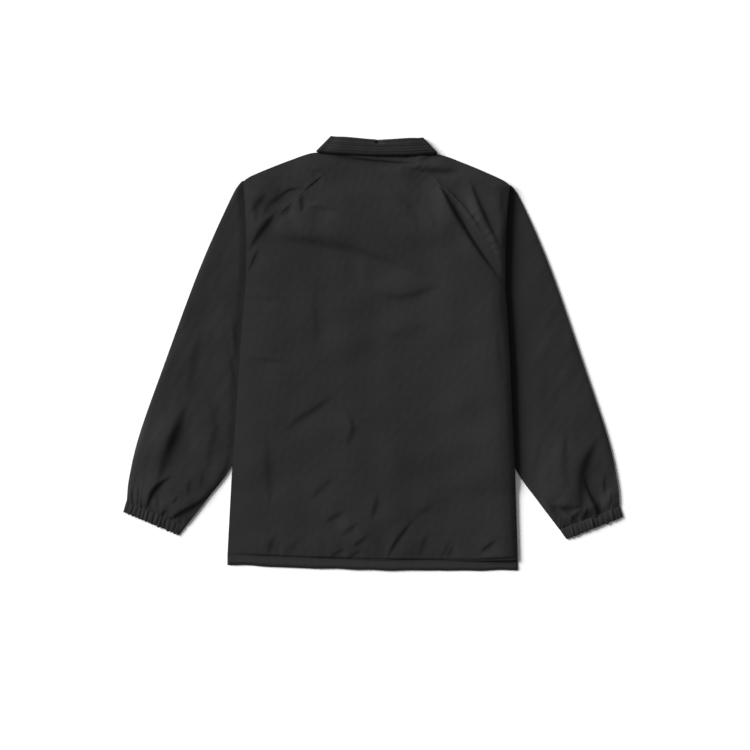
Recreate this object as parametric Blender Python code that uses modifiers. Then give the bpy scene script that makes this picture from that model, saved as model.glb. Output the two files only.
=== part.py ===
"""A raglan jacket laid flat on its front, back upward, neck toward +Y.

The body lies on the table by its two fronts. Each sleeve is a flattened tube of
two plies. At the side of the body it is folded like a pleat: it comes up from
the cuff under the body, turns back on itself along the root line, and turns
again along the visible edge of the body before it runs up to the neck.
"""

import math

import bmesh
import bpy
import numpy as np
from mathutils import Vector

CLOTH = 0.0012          # wall of one ply
SEAM = 0.0003           # gap left between pieces
PLY = CLOTH + SEAM      # height of one ply in a stack
TURN = 0.65             # how far a turned edge bulges, as a share of the height it turns
EDGE = TURN * PLY + CLOTH / 2   # how far it reaches past its row
PLEAT_EDGE = PLY * 1.5 + CLOTH / 2   # the same for the outer turn of the pleat
HEM_WALL = 0.0020
CUFF_WALL = 0.0018
BODY_PUFF = 0.0009      # air between the fronts and the back, at most
SLEEVE_PUFF = 0.0022
OVERLAP = 0.014         # how far each front reaches past the centre
HEM_SEAM = -0.3575
HEM_BOTTOM = -0.3748
NECK = 0.3520           # back neck seam, under the fall of the collar
SNAP_RADIUS = 0.0065
RAGLAN_ROWS = 9         # rows of cloth along each raglan seam
SNAP_FIRST, SNAP_LAST, SNAP_COUNT = 0.238, -0.330, 5

# Outlines of the right half, each row (x, y).
SHOULDER = ((0.0950, 0.3505), (0.1180, 0.3478), (0.1550, 0.3345), (0.1900, 0.3202), (0.2205, 0.3065), (0.2335, 0.2975))
SLEEVE_OUTER = ((0.2290, 0.3000), (0.2425, 0.2855), (0.2570, 0.2620), (0.3100, 0.1420), (0.3700, -0.0260), (0.4110, -0.1460), (0.4280, -0.2200), (0.4325, -0.2640))
SLEEVE_INNER = ((0.1860, 0.0950), (0.1900, 0.0000), (0.2080, -0.1000), (0.2485, -0.1980), (0.2900, -0.2560), (0.3285, -0.3060))
BACK_RAGLAN = ((0.0520, 0.3520), (0.0970, 0.3045), (0.1400, 0.2660), (0.1750, 0.2330), (0.1960, 0.2040), (0.2080, 0.1720), (0.2245, 0.1220))
FRONT_RAGLAN = ((0.0820, 0.3180), (0.1200, 0.2720), (0.1700, 0.2150), (0.2050, 0.1650), (0.2245, 0.1220))
BODY_SIDE = ((0.2262, 0.1190), (0.2325, 0.0450), (0.2380, -0.0470), (0.2435, -0.1470), (0.2478, -0.2150), (0.2540, -0.3580))
FRONT_NECK = ((-0.0140, 0.2660), (0.0200, 0.2700), (0.0500, 0.2840), (0.0700, 0.3000), (0.0790, 0.3180))
CUFF_TOP = ((0.4328, -0.2646), (0.3288, -0.3066))
CUFF_BOTTOM = ((0.4375, -0.2800), (0.3400, -0.3205))

# The tucked part of the sleeve: at height y along the body, how far in it
# reaches (x) and how high it lifts the body above the table.
TUCK = (
    # y, reach, lift
    (0.3520, 0.2150, 0.0000),
    (0.3000, 0.2220, 4 * PLY),
    (0.0900, 0.1840, 4 * PLY),
    (0.0000, 0.1880, 3.4 * PLY),
    (-0.1000, 0.2060, 2.8 * PLY),
    (-0.1950, 0.2450, 2.2 * PLY),
    (-0.2450, 0.2600, 0.0000),
)

# Collar of the right half, centre back round to centre front.
# Each row: neck seam (x, y), fold (x, y), edge of the fall (x, y).
COLLAR_BACK = (
    (0.0000, 0.3526, 0.0000, 0.3723, 0.0000, 0.3474),
    (0.0480, 0.3526, 0.0440, 0.3730, 0.0560, 0.3486),
    (0.0900, 0.3520, 0.0800, 0.3722, 0.1035, 0.3498),
)
COLLAR_FRONT = (
    (0.0900, 0.3520, 0.0800, 0.3722, 0.1035, 0.3498),
    (0.0762, 0.3196, 0.0650, 0.3330, 0.0990, 0.3060),
    (0.0676, 0.3024, 0.0550, 0.3150, 0.0880, 0.2720),
    (0.0484, 0.2866, 0.0360, 0.2985, 0.0710, 0.2440),
    (0.0180, 0.2726, 0.0060, 0.2850, 0.0480, 0.2220),
)


def step(low, high, value):
    t = min(max((value - low) / (high - low), 0.0), 1.0)
    return t * t * (3 - 2 * t)


def smooth_line(points, count):
    """count rows evenly spaced along a smooth curve through the given rows."""
    known = np.array(points, float)
    padded = np.vstack([2 * known[0] - known[1], known, 2 * known[-1] - known[-2]])
    fine = []
    for a, b, c, d in zip(padded, padded[1:], padded[2:], padded[3:]):
        for t in np.linspace(0, 1, 24, endpoint=False):
            fine.append(0.5 * (2 * b + (c - a) * t + (2 * a - 5 * b + 4 * c - d) * t**2 + (3 * b - a - 3 * c + d) * t**3))
    fine = np.array(fine + [known[-1]])
    length = np.append(0, np.cumsum(np.linalg.norm(np.diff(fine[:, :2], axis=0), axis=1)))
    wanted = np.linspace(0, length[-1], count)
    return np.array([[np.interp(s, length, column) for column in fine.T] for s in wanted])


def inset(points, amount):
    """The line moved to its right hand side, seen along it from above."""
    line = np.array(points, float)
    along = np.gradient(line, axis=0)
    along /= np.linalg.norm(along, axis=1)[:, None]
    return line + amount * np.column_stack([along[:, 1], -along[:, 0]])


def x_of_y(*lines):
    """x as a function of y along the lines, taken in rising order of y."""
    rows = np.vstack([smooth_line(line, 60) for line in lines])
    rows = rows[np.argsort(rows[:, 1])]
    return lambda y: float(np.interp(y, rows[:, 1], rows[:, 0]))


TUCK_ROWS = np.array(TUCK)[::-1]
outline_x = x_of_y(BODY_SIDE, ((0.2262, 0.1200), (0.2270, 0.2150), (0.2325, 0.2970)), SHOULDER)
side_x = x_of_y(BODY_SIDE)
front_neck_x = x_of_y(FRONT_NECK)
back_seam = smooth_line(BACK_RAGLAN[::-1], RAGLAN_ROWS)
front_seam = smooth_line(FRONT_RAGLAN[::-1], RAGLAN_ROWS)


def tuck_lift(x, y):
    reach = np.interp(y, TUCK_ROWS[:, 0], TUCK_ROWS[:, 1])
    lift = np.interp(y, TUCK_ROWS[:, 0], TUCK_ROWS[:, 2])
    return lift * step(reach - 0.085, reach - 0.025, abs(x))


def collar_lift(x, y):
    """The fronts rise over the wings of the collar."""
    return PLY * step(0.180, 0.215, y) * (1 - step(0.112, 0.150, abs(x)))


def at_closure(x, reach=0.055):
    return 1 - step(0.016, reach, abs(x))


def closure_lift(x, y, plies, reach=0.055):
    """The fronts rise over the snap caps, and the inner front over the outer."""
    return plies * PLY * at_closure(x, reach) * (1 - step(0.270, 0.310, y))


def front_mid(x, y, plies=0):
    """Height of the middle of the lower ply of the body."""
    return CLOTH / 2 + tuck_lift(x, y) + collar_lift(x, y) + closure_lift(x, y, plies)


def back_mid(x, y):
    """Height of the middle of the upper ply of the body."""
    puff = BODY_PUFF * step(0, 0.06, outline_x(y) - abs(x)) * step(0, 0.06, NECK - y) * step(0, 0.05, y - HEM_SEAM)
    hem = 2 * (HEM_WALL - CLOTH) * (1 - step(HEM_SEAM, HEM_SEAM + 0.04, y))
    return front_mid(x, y) + closure_lift(x, y, 2.3, 0.160) + PLY + puff + hem


def loft(name, rows, finish, wall):
    """A cloth wall through rows of points. None marks a place with no cloth."""
    mesh = bpy.data.meshes.new(name)
    bm = bmesh.new()
    grid = [[bm.verts.new(p) if p is not None else None for p in row] for row in rows]
    for low, high in zip(grid, grid[1:]):
        for corners in zip(low, low[1:], high[1:], high):
            if None not in corners:
                bm.faces.new(corners)
    bmesh.ops.remove_doubles(bm, verts=bm.verts, dist=1e-6)
    bmesh.ops.delete(bm, geom=[v for v in bm.verts if not v.link_faces], context="VERTS")
    bmesh.ops.recalc_face_normals(bm, faces=bm.faces)
    bm.to_mesh(mesh)
    bm.free()
    mesh.materials.append(finish)
    piece = bpy.data.objects.new(name, mesh)
    jacket.objects.link(piece)
    shell = piece.modifiers.new("wall", "SOLIDIFY")
    shell.thickness = wall
    shell.offset = 0.0
    return piece


def turn(start, end, way, depth):
    """Points of the rounded turn between two plies, bulging the given way."""
    found = []
    for angle in (math.pi / 3, 2 * math.pi / 3):
        middle = start.lerp(end, (1 - math.cos(angle)) / 2)
        found.append(middle + way * (depth * math.sin(angle)))
    return found


def flat_way(start, end):
    way = Vector((end.x - start.x, end.y - start.y, 0))
    return way.normalized()


def tube_row(upper, lower, closed):
    """One ring of a flattened tube. Both plies run from the outer edge inward."""
    depth_in = min((upper[-1] - lower[-1]).length * TURN, PLY)
    depth_out = min((upper[0] - lower[0]).length * TURN, PLY)
    way_in = (flat_way(upper[-2], upper[-1]) + flat_way(lower[-2], lower[-1])).normalized()
    way_out = (flat_way(upper[1], upper[0]) + flat_way(lower[1], lower[0])).normalized()
    inner = turn(upper[-1], lower[-1], way_in, depth_in)
    outer = turn(lower[0], upper[0], way_out, depth_out)
    if not closed:
        inner = [None, None]
    return [*upper, *inner, *reversed(lower), *outer, upper[0]]


def spread(start, end, count, height):
    """count points from start to end, each raised to height(x, y, share)."""
    found = []
    for share in np.linspace(0, 1, count):
        x, y = (1 - share) * np.array(start[:2]) + share * np.array(end[:2])
        found.append(Vector((x, y, height(x, y, share))))
    return found


def mirrored(rows, side):
    return [[p and Vector((p.x * side, p.y, p.z)) for p in row] for row in rows]


def sleeve(name, side):
    across, along = 7, 11
    outer = smooth_line(inset(smooth_line(SLEEVE_OUTER, along), EDGE), along)[::-1]
    inner = smooth_line(SLEEVE_INNER, along)[::-1]
    rows = []

    def bulge(x, y, share):
        clear = step(0.0, 0.040, x - outline_x(y)) if y < 0.297 else 0.0
        return CLOTH / 2 + PLY + SLEEVE_PUFF * clear * math.sin(math.pi * share)

    for o, i in zip(outer, inner):
        rows.append(tube_row(spread(o, i, across, bulge), spread(o, i, across, lambda *_: CLOTH / 2), True))

    def folded(o, i, way, centre, upper_reach, lower_reach, first, last, count):
        """Rows that turn the two plies together about the line from o to i."""
        for angle in np.linspace(first, last, count):
            plies = []
            for reach in (upper_reach, lower_reach):
                shift = way * (reach * math.cos(angle))
                ply = spread(o, i, across, lambda *_: centre + reach * math.sin(angle))
                plies.append([p + shift for p in ply])
            rows.append(tube_row(plies[0], plies[1], True))

    root_o, root_i = outer[-1], inner[-1]
    edge_o = np.array(SHOULDER[-1]) - (PLEAT_EDGE, 0)
    edge_i = np.array(BACK_RAGLAN[-1])
    line = flat_way(Vector((*root_o, 0)), Vector((*root_i, 0)))
    inward = Vector((line.y, -line.x, 0))
    line = flat_way(Vector((*edge_o, 0)), Vector((*edge_i, 0)))
    outward = Vector((-line.y, line.x, 0))
    quarter = math.pi / 2
    folded(root_o, root_i, inward, CLOTH / 2 + 1.5 * PLY, PLY / 2, PLY * 1.5, -quarter * 0.6, quarter, 4)
    folded(edge_o, edge_i, outward, CLOTH / 2 + 3.5 * PLY, PLY * 1.5, PLY / 2, -quarter, quarter * 0.6, 4)

    shoulder = smooth_line(inset(SHOULDER, EDGE)[::-1], RAGLAN_ROWS)
    shoulder[0] = edge_o
    for place, (o, b, f) in enumerate(zip(shoulder, back_seam, front_seam)):
        upper = spread(o, b, across, lambda x, y, _: back_mid(x, y))
        lower = spread(o, f, across, lambda x, y, _: front_mid(x, y))
        rows.append(tube_row(upper, lower, place == 0))
    return loft(name, mirrored(rows, side), shell_cloth, CLOTH)


def cuff(name, side):
    across, gathers = 21, 5
    rows = []
    for share in np.linspace(0, 1, 4):
        o = (1 - share) * np.array(CUFF_TOP[0]) + share * np.array(CUFF_BOTTOM[0])
        i = (1 - share) * np.array(CUFF_TOP[1]) + share * np.array(CUFF_BOTTOM[1])
        o = o + (i - o) * (EDGE / np.linalg.norm(i - o))

        def ruffle(x, y, part):
            wave = 0.5 - 0.5 * math.cos(2 * math.pi * gathers * part)
            return CUFF_WALL * 1.5 + SEAM + 0.0016 * wave * (1 - 0.4 * share)

        rows.append(tube_row(spread(o, i, across, ruffle), spread(o, i, across, lambda *_: CUFF_WALL / 2), True))
    return loft(name, mirrored(rows, side), shell_cloth, CUFF_WALL)


def panel_rows(lines, count, height):
    """Rows of a panel, one for each line (y, left x, right x)."""
    return [spread((left, y), (right, y), count, lambda x, y, _: height(x, y)) for y, left, right in lines]


def half_lines(seam, lower, extra=()):
    """(y, side x) up one side of the body, then up a raglan seam."""
    sides = [(y, side_x(y)) for y in np.linspace(HEM_SEAM + SEAM, seam[0][1] - 0.006, lower)]
    corner = (seam[0][1], seam[0][0] - PLY)
    heights = sorted([*seam[1:, 1], *extra])
    return sides + [corner] + [(y, np.interp(y, seam[:, 1], seam[:, 0]) - 1.7 * SEAM) for y in heights]


def back():
    lines = [(y, -x, x) for y, x in half_lines(back_seam, 9)]
    return loft("back", panel_rows(lines, 19, back_mid), shell_cloth, CLOTH)


def front(name, side, plies):
    def inner(y):
        return front_neck_x(y) if y > FRONT_NECK[0][1] else -OVERLAP

    neck = smooth_line(FRONT_NECK, 7)[:-1, 1]
    lines = [(y, inner(y), x) for y, x in half_lines(front_seam, 9, neck)]
    rows = panel_rows(lines, 9, lambda x, y: front_mid(x, y, plies))
    return loft(name, mirrored(rows, side), shell_cloth, CLOTH)


def hem(name, left, right, count, height):
    """A double band under a panel, level with the panel's outer face."""
    lines = [(y, left, right) for y in np.linspace(HEM_SEAM, HEM_BOTTOM, 3)]
    return loft(name, panel_rows(lines, count, lambda x, y: height(x)), shell_cloth, HEM_WALL)


def collar():
    def levels(row, is_back):
        seam, fold, edge = (np.array(row[k:k + 2]) for k in (0, 2, 4))
        if is_back:
            stand = back_mid(seam[0], min(seam[1], NECK))
            over = max(back_mid(edge[0], edge[1]), stand) + PLY
            return seam, fold, edge, (stand, stand + 0.0004, over + 0.0012, over)
        stand = front_mid(seam[0], seam[1])
        return seam, fold, edge, (stand, stand, CLOTH / 2, CLOTH / 2)

    def section(seam, fold, edge, heights, shift=(0, 0, 0, 0), way=(0, 0)):
        moved = [np.array(p) + np.array(way) * s for p, s in zip((seam, fold, fold, edge), shift)]
        stand, top, over, low = (Vector((*p, z)) for p, z in zip(moved, heights))
        bend = turn(top, over, flat_way(Vector((*seam, 0)), Vector((*fold, 0))), abs(over.z - top.z) / 2)
        return [stand, stand.lerp(top, 0.5), top, *bend, over, over.lerp(low, 0.5), low]

    back_rows = [levels(row, True) for row in smooth_line(COLLAR_BACK, 6)]
    front_rows = [levels(row, False) for row in smooth_line(COLLAR_FRONT, 8)]
    half = [section(*row) for row in back_rows]
    above, below = back_rows[-1], front_rows[0]
    side_line = flat_way(Vector((*above[1], 0)), Vector((*above[2], 0)))
    outward = (-side_line.y, side_line.x)
    for angle in (0.25, 0.5, 0.75):
        share = (1 - math.cos(angle * math.pi)) / 2
        heights = [(1 - share) * a + share * b for a, b in zip(above[3], below[3])]
        reach = [abs(a - b) / 2 * math.sin(angle * math.pi) for a, b in zip(above[3], below[3])]
        half.append(section(*above[:3], heights, reach, outward))
    half += [section(*row) for row in front_rows]
    return loft("collar", list(reversed(mirrored(half[1:], -1))) + half, shell_cloth, CLOTH)


def snap(name, y):
    mesh = bpy.data.meshes.new(name)
    bm = bmesh.new()
    bmesh.ops.create_cone(bm, cap_ends=True, segments=16, radius1=SNAP_RADIUS, radius2=SNAP_RADIUS * 0.94, depth=CLOTH)
    bm.to_mesh(mesh)
    bm.free()
    mesh.materials.append(snap_paint)
    cap = bpy.data.objects.new(name, mesh)
    cap.location = (0, y, front_mid(0, y, 1) - PLY)
    jacket.objects.link(cap)


def paint(name, colour, roughness):
    finish = bpy.data.materials.new(name)
    finish.use_nodes = True
    shader = finish.node_tree.nodes["Principled BSDF"]
    shader.inputs["Base Color"].default_value = (*colour, 1)
    shader.inputs["Roughness"].default_value = roughness
    return finish


for obj in list(bpy.data.objects):
    bpy.data.objects.remove(obj)
jacket = bpy.data.collections.new("jacket")
bpy.context.scene.collection.children.link(jacket)
shell_cloth = paint("black nylon", (0.027, 0.027, 0.027), 0.5)
snap_paint = paint("black snap", (0.02, 0.02, 0.02), 0.35)

back()
front("front_left", -1, 1)
front("front_right", 1, 2.3)
sleeve("sleeve_left", -1)
sleeve("sleeve_right", 1)
cuff("cuff_left", -1)
cuff("cuff_right", 1)
collar()
half_hem = BODY_SIDE[-1][0]
hem_ply = HEM_WALL + SEAM
hem("hem_back", -half_hem, half_hem, 15, lambda x: HEM_WALL / 2 + hem_ply + (PLY + hem_ply) * at_closure(x, 0.160))
hem("hem_front_left", -half_hem, OVERLAP, 9, lambda x: HEM_WALL / 2 + PLY * at_closure(x))
hem("hem_front_right", -OVERLAP, half_hem, 9, lambda x: HEM_WALL / 2 + (PLY + hem_ply) * at_closure(x))
for number, y in enumerate(np.linspace(SNAP_FIRST, SNAP_LAST, SNAP_COUNT), 1):
    snap(f"snap_{number}", float(y))
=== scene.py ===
import math

import bpy
import numpy as np
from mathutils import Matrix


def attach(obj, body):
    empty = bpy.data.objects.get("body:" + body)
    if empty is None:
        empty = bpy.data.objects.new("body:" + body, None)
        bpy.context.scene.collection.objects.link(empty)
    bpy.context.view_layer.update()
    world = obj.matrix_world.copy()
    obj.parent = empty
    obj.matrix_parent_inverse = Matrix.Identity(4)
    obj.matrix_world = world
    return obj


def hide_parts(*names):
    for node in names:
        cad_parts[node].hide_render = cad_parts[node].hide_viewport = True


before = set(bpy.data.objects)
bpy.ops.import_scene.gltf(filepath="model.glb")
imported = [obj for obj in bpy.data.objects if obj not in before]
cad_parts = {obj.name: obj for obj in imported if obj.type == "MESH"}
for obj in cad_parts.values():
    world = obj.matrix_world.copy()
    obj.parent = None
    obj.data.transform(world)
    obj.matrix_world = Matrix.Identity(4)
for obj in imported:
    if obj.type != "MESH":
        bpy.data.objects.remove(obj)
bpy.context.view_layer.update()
print("frame loaded")

# Sizes that every piece shares, in metres.
jacket = {
    "rest": 0.0006,           # middle of the ply that lies on the table
    "ply": 0.0015,            # height of one ply in a stack
    "wall": 0.0008,           # thickness drawn at a cut edge
    "puff": 0.0013,           # air under the back
    "softness": 0.0005,       # how softly a deep crease meets the ply below
    "shoulderPuff": 0.0048,   # more of it under the right shoulder
    "puffPlace": (0.155, 0.235),
    "puffReach": 0.075,
    "puffInward": 0.140,      # its reach toward the middle of the back
    "leftRound": 0.0800,      # width of the rounding along each edge of the body
    "rightRound": 0.0280,
    "topRound": 0.0260,
    "foldStand": 0.55,        # share of the height that the left shoulder keeps at its edge
    "sideLift": 0.0056,       # how far the right edge stands off the table
    "sideRoll": 0.0020,       # how far it rolls down again
    "rollWidth": 0.0130,
    "leftTuck": 0.7,          # how full the tucked sleeve is on each side
    "rightTuck": 1.6,
    "hemSeam": -0.3575,
    "hemBottom": -0.3748,
    "neck": 0.3520,
    "overlap": 0.0140,        # how far each front reaches past the centre
    "closurePlies": 2.3,      # plies by which the overlap lifts what lies on it
    "closureReach": 0.055,    # how far from the centre that lift fades out
    "closureSpread": 0.160,   # the same for the back
    "shoulderDrop": 0.0028,   # the right shoulder lies lower than the left
    "hemSkew": 0.0020,        # left end of the hem up, right end down
    "hemBow": 0.0045,         # the middle of the hem hangs lower than its ends
}

# Outlines of the right half, each row (x, y).
outlines = {
    "shoulder": ((0.0950, 0.3505), (0.1180, 0.3478), (0.1550, 0.3345), (0.1900, 0.3202),
                 (0.2205, 0.3065), (0.2335, 0.2975)),
    "foldEdge": ((0.2325, 0.2970), (0.2270, 0.2150), (0.2262, 0.1200)),
    "bodySide": ((0.2262, 0.1190), (0.2325, 0.0450), (0.2380, -0.0470), (0.2435, -0.1470),
                 (0.2478, -0.2150), (0.2540, -0.3580)),
    "sleeveOuter": ((0.2290, 0.3010), (0.2395, 0.2955), (0.2580, 0.2630), (0.3100, 0.1420),
                    (0.3700, -0.0260), (0.4110, -0.1460), (0.4280, -0.2200), (0.4325, -0.2640)),
    "sleeveInner": ((0.1860, 0.0950), (0.1900, 0.0000), (0.2080, -0.1000), (0.2485, -0.1980),
                    (0.2900, -0.2560), (0.3285, -0.3060)),
    "backRaglan": ((0.0520, 0.3520), (0.0970, 0.3045), (0.1400, 0.2660), (0.1750, 0.2330),
                   (0.1960, 0.2040), (0.2080, 0.1720), (0.2245, 0.1220)),
    "frontRaglan": ((0.0820, 0.3180), (0.1200, 0.2720), (0.1700, 0.2150), (0.2050, 0.1650),
                    (0.2245, 0.1220)),
    "frontNeck": ((-0.0140, 0.2660), (0.0200, 0.2700), (0.0500, 0.2840), (0.0700, 0.3000),
                  (0.0790, 0.3180)),
    "cuffTop": ((0.4326, -0.2634), (0.3280, -0.3054)),
    "cuffBottom": ((0.4378, -0.2818), (0.3402, -0.3218)),
}

# The sleeve tucked under the side of the body: at y, how far in it reaches and how high it lifts.
tuck = (
    (0.3520, 0.2150, 0.0000),
    (0.3000, 0.2220, 0.0060),
    (0.0900, 0.1840, 0.0060),
    (0.0000, 0.1880, 0.0051),
    (-0.1000, 0.2060, 0.0042),
    (-0.1950, 0.2450, 0.0033),
    (-0.2450, 0.2600, 0.0000),
)


def softStep(low, high, value):
    t = np.clip((value - low) / (high - low), 0, 1)
    return t * t * (3 - 2 * t)


def softFloor(value, least):
    # The value, bent softly so that it stays above the least.
    over = (value - least) / jacket["softness"]
    bent = np.log1p(np.exp(np.minimum(over, 20)))
    return least + jacket["softness"] * np.where(over > 20, over, bent)


def smoothLine(points, count):
    known = np.array(points, float)
    padded = np.vstack([2 * known[0] - known[1], known, 2 * known[-1] - known[-2]])
    t = np.linspace(0, 1, 24, endpoint=False)[:, None]
    runs = []
    for a, b, c, d in zip(padded, padded[1:], padded[2:], padded[3:]):
        curve = 2 * b + (c - a) * t + (2 * a - 5 * b + 4 * c - d) * t**2
        runs.append(0.5 * (curve + (3 * b - a - 3 * c + d) * t**3))
    fine = np.vstack([*runs, known[-1:]])
    length = np.append(0, np.cumsum(np.linalg.norm(np.diff(fine[:, :2], axis=0), axis=1)))
    wanted = np.linspace(0, length[-1], count)
    return np.column_stack([np.interp(wanted, length, column) for column in fine.T])


def inset(line, amount):
    along = np.gradient(line, axis=0)
    along /= np.linalg.norm(along, axis=1)[:, None]
    return line + amount * np.column_stack([along[:, 1], -along[:, 0]])


def xOfY(*names):
    rows = np.vstack([smoothLine(outlines[name], 80) for name in names])
    rows = rows[np.argsort(rows[:, 1])]
    return lambda y: np.interp(y, rows[:, 1], rows[:, 0])


def nearLine(x, y, line):
    # Signed distance, positive on the left of the line, and the length along it.
    best = np.full(x.shape, 1e9)
    side = np.ones(x.shape)
    along = np.zeros(x.shape)
    start = 0.0
    for a, b in zip(line[:-1], line[1:]):
        way = b - a
        length = math.hypot(*way)
        t = np.clip(((x - a[0]) * way[0] + (y - a[1]) * way[1]) / length**2, 0, 1)
        dx = x - a[0] - t * way[0]
        dy = y - a[1] - t * way[1]
        far = dx * dx + dy * dy
        nearer = far < best
        best = np.where(nearer, far, best)
        side = np.where(nearer, np.where(way[0] * dy < way[1] * dx, -1.0, 1.0), side)
        along = np.where(nearer, start + t * length, along)
        start += length
    return np.sqrt(best) * side, along


def waves(u, v, seed, short, long, count=16):
    # Uneven ripples with wavelengths from short to long.
    draw = np.random.default_rng(seed)
    total = np.zeros(np.broadcast(u, v).shape)
    for _ in range(count):
        size = math.exp(draw.uniform(math.log(short), math.log(long)))
        angle = draw.uniform(0, 2 * math.pi)
        phase = draw.uniform(0, 2 * math.pi)
        total += np.sin(2 * math.pi * (u * math.cos(angle) + v * math.sin(angle)) / size + phase)
    return total / math.sqrt(count / 2)


def ripples(u, seed, short, long, count=14):
    # The same along one line.
    draw = np.random.default_rng(seed)
    total = np.zeros(np.shape(u))
    for _ in range(count):
        size = math.exp(draw.uniform(math.log(short), math.log(long)))
        total += np.sin(2 * math.pi * u / size + draw.uniform(0, 2 * math.pi))
    return total / math.sqrt(count / 2)


folds = {
    "reach": 4.5,             # how far a fold goes to each side of its line, in widths
    "cutOff": 2.2,            # in reaches, past which a fold adds nothing
    "ends": 0.45,             # share of the length over which each end fades
    "steepness": 1.5,
    "dropWay": (0.92, -0.39),   # the steep sides face the lower right
}


def creases(x, y, table):
    # Each fold climbs slowly from the upper left, drops steeply along its line and climbs back slowly.
    # Lift is the share of the drop that stands above the cloth. A negative depth is a soft ridge.
    z = np.zeros(x.shape)
    for ax, ay, mx, my, bx, by, width, depth, lift in table:
        line = smoothLine(((ax, ay), (mx, my), (bx, by)), 9) * 0.001
        w = width * 0.001
        low = line.min(0) - folds["cutOff"] * folds["reach"] * w
        high = line.max(0) + folds["cutOff"] * folds["reach"] * w
        near = (x > low[0]) & (x < high[0]) & (y > low[1]) & (y < high[1])
        if not near.any():
            continue
        d, along = nearLine(x[near], y[near], line)
        length = np.linalg.norm(np.diff(line, axis=0), axis=1).sum()
        ends = folds["ends"] * length
        taper = softStep(0, ends, along) * softStep(0, ends, length - along)
        if depth < 0:
            z[near] -= depth * 0.001 * taper * np.exp(-((d / w) ** 2))
            continue
        way = line[-1] - line[0]
        dropsLeft = -way[1] * folds["dropWay"][0] + way[0] * folds["dropWay"][1] > 0
        steep = (d if dropsLeft else -d) / (w * (0.35 + 0.65 * taper))
        past = 0.5 + 0.5 * np.tanh(folds["steepness"] * steep)
        above = lift * (1 - past) * np.exp(-((np.minimum(steep, 0) / folds["reach"]) ** 2))
        below = (1 - lift) * past * np.exp(-((np.maximum(steep, 0) / folds["reach"]) ** 2))
        z[near] += depth * 0.001 * taper * (above - below)
    return z


def leanRibs(u, seed, short, long, even):
    # Uneven ribs, heights 0 to 1, that climb slowly with u and drop off fast. Even ones are round.
    draw = np.random.default_rng(seed)
    edges = np.cumsum(draw.uniform(short, long, 400)) - 0.6
    tall = draw.uniform(0.15, 1.0, 400) ** 1.5
    k = np.clip(np.searchsorted(edges, u), 1, 399)
    t = (u - edges[k - 1]) / (edges[k] - edges[k - 1])
    lean = t * (1 - softStep(0.58, 1.0, t))
    return tall[k] * ((1 - even) * lean + even * np.sin(math.pi * t) ** 0.35)


def dense(count):
    # Shares from 0 to 1, closer together at both ends.
    t = np.linspace(0, 1, count)
    return 0.55 * t + 0.45 * (0.5 - 0.5 * np.cos(math.pi * t))


def skew(x, y):
    # The laid cloth is not quite even: how far each point is moved along y.
    share = x / 0.25
    inside = 1 - softStep(0.25, 0.31, np.abs(x))
    shoulder = jacket["shoulderDrop"] * np.maximum(share, 0) * softStep(0.20, 0.32, y)
    low = 1 - softStep(-0.36, -0.20, y)
    hemline = jacket["hemSkew"] * share + jacket["hemBow"] * np.maximum(1 - share**2, 0)
    return -inside * (shoulder + low * hemline)


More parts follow.
